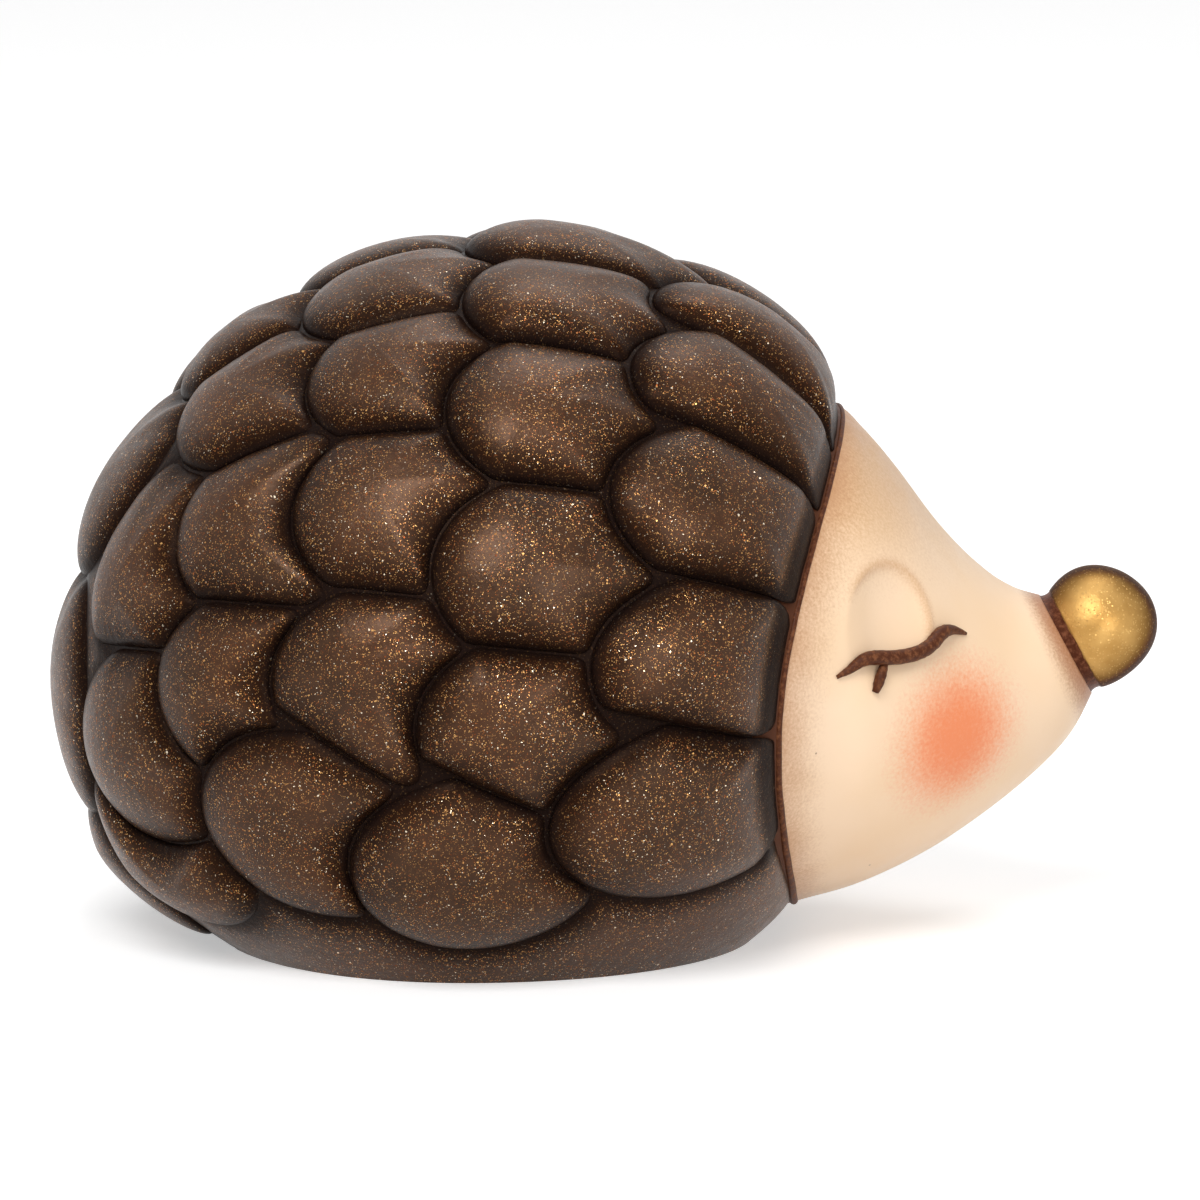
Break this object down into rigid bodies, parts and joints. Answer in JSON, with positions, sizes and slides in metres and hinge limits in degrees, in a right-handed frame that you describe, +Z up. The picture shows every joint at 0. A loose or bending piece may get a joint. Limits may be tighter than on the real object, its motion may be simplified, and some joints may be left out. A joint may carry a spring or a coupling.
{
  "type": "hedgehog figurine",
  "caption": "Hollow ceramic hedgehog ornament with a coat of overlapping scales, a smooth tapered face, closed eyelids and a round nose; stands on a flat base.",
  "frame": {"origin": "on the standing surface, under the middle of the figurine's overall length", "axes": "+X towards the nose, +Z up, -Y towards the side seen in the picture"},
  "size_m": [0.1095, 0.0822, 0.0705],
  "materials": {
    "coat_glaze": "matt glaze with copper glitter flecks",
    "bare_clay": "matt, unglazed",
    "cream_glaze": "satin glaze, airbrushed brown edges",
    "brown_line": "satin brushed glaze",
    "gold_lustre": "speckled metallic lustre"
  },
  "bodies": {
    "root": {"coat_shell": "coat_glaze", "brow_scales": "coat_glaze", "shoulder_scales": "coat_glaze", "back_scales": "coat_glaze", "rump_scales": "coat_glaze", "tail_scales": "coat_glaze", "rear_scales": "coat_glaze", "base_plate": "bare_clay", "face_shell": "cream_glaze", "eyelid_right": "cream_glaze", "eyelid_left": "cream_glaze", "face_collar": "brown_line", "nose_knob": "gold_lustre"}
  },
  "joints": []
}
